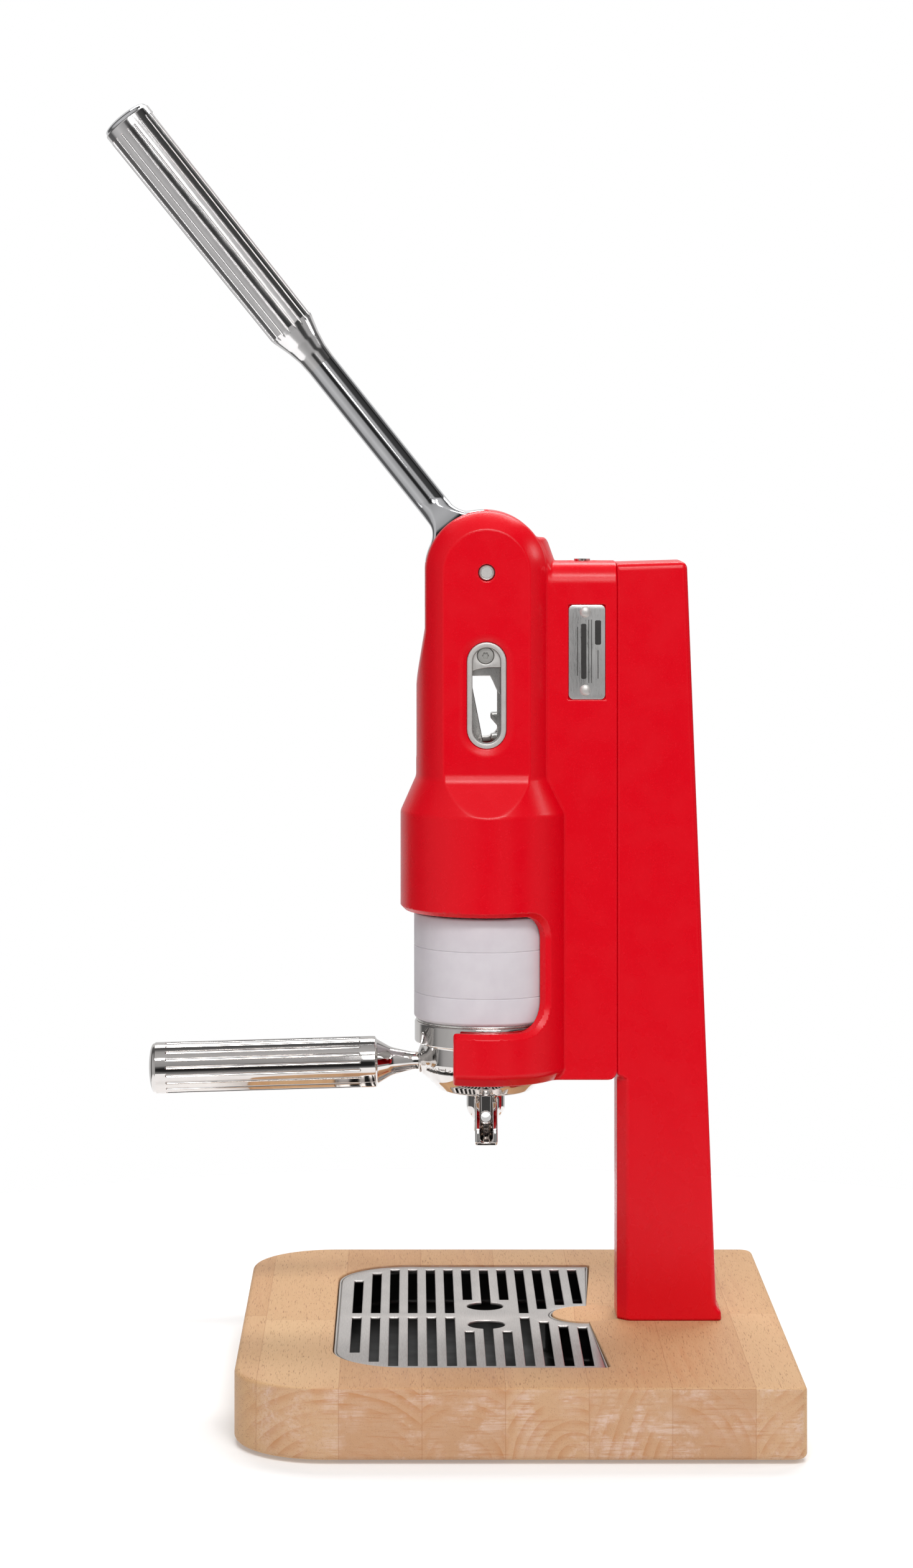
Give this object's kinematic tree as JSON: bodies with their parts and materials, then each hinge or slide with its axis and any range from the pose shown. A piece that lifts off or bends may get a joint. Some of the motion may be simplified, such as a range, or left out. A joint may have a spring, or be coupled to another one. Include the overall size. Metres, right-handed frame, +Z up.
{
  "type": "lever espresso press",
  "caption": "Hand lever espresso press: a ratchet lever drives a rack and piston into a frosted water cup on a portafilter, held by a red housing and column on a wooden board with a drip tray.",
  "frame": {"origin": "where the piston's axis meets the table, on the underside of the middle foot", "axes": "+Z up along the piston's axis, -X towards the user and both handles, +X towards the column, Y across the board"},
  "size_m": [0.3313, 0.303, 0.631],
  "materials": {
    "rubberwood": "oiled butcher block",
    "rubber": "matt",
    "red_paint": "fine-textured powder coat",
    "polished_chrome": "polished",
    "brushed_steel": "brushed",
    "machined_steel": "fine machined",
    "screw_steel": "turned",
    "black_oxide": "black oxide steel",
    "bronze": "sintered",
    "frosted_plastic": "frosted",
    "plate_metal": "satin"
  },
  "bodies": {
    "base": {"board": "rubberwood", "feet": "rubber", "base_plate": "machined_steel", "base_screws": "black_oxide", "column": "red_paint", "column_bolts": "black_oxide", "housing": "red_paint", "window_sleeves": "brushed_steel", "window_plates": "brushed_steel", "window_blocks": "brushed_steel", "window_screws": "screw_steel", "tie_bar": "machined_steel", "nameplate": "plate_metal", "nameplate_rivets": "screw_steel", "top_screw": "screw_steel", "pivot_pin": "machined_steel", "thrust_washers": "bronze", "pawl_pin": "machined_steel", "rack_guide": "bronze", "return_springs": "black_oxide", "spring_hanger": "black_oxide"},
    "lever": {"pivot_bushes": "bronze", "lever_hub": "polished_chrome", "lever_rod": "polished_chrome", "lever_grip": "polished_chrome", "lever_cap": "polished_chrome", "crank_pin": "machined_steel"},
    "drive_pawl": {"drive_pawl": "machined_steel"},
    "holding_pawl": {"holding_pawl": "machined_steel"},
    "piston": {"rack": "machined_steel", "rack_foot": "machined_steel", "foot_screws": "black_oxide", "piston": "machined_steel", "piston_seals": "rubber"},
    "portafilter": {"cup_sleeve": "frosted_plastic", "cup_liner": "machined_steel", "cup_seal": "rubber", "filter_basket": "brushed_steel", "basket_spring": "black_oxide", "portafilter_body": "polished_chrome", "handle_stud": "machined_steel", "handle_collar": "polished_chrome", "handle_grip": "polished_chrome", "handle_cap": "polished_chrome", "twin_spout": "polished_chrome"},
    "drip_tray": {"drip_tray": "brushed_steel"},
    "drip_grille": {"drip_grille": "brushed_steel"}
  },
  "joints": [
    {"name": "lever_pivot", "type": "hinge", "parent": "base", "child": "lever", "pos_m": [0, 0, 0.401], "axis": [0, -1, 0], "range_deg": [0, 62]},
    {"name": "drive_pawl_hinge", "type": "hinge", "parent": "lever", "child": "drive_pawl", "pos_m": [-0.01039, 0, 0.407], "axis": [0, -1, 0], "range_deg": [-62, 0]},
    {"name": "holding_pawl_hinge", "type": "hinge", "parent": "base", "child": "holding_pawl", "pos_m": [0.0205, 0, 0.3514], "axis": [0, 1, 0], "range_deg": [0, 13]},
    {"name": "piston_slide", "type": "slide", "parent": "base", "child": "piston", "axis": [0, 0, -1], "range_m": [0, 0.052], "stiffness_N_per_m": 120, "springref_m": -0.08, "deforming": ["return_springs"]},
    {"name": "portafilter_slide", "type": "slide", "parent": "base", "child": "portafilter", "axis": [-1, 0, 0], "range_m": [0, 0.12]},
    {"name": "tray_lift", "type": "slide", "parent": "base", "child": "drip_tray", "axis": [0, 0, 1], "range_m": [0, 0.04]},
    {"name": "grille_lift", "type": "slide", "parent": "drip_tray", "child": "drip_grille", "axis": [0, 0, 1], "range_m": [0, 0.03]}
  ],
  "couplings": [
    {"joint": "drive_pawl_hinge", "follows": "lever_pivot", "ratio": -1},
    {"joint": "holding_pawl_hinge", "follows": "lever_pivot", "ratio": 0.2096}
  ]
}
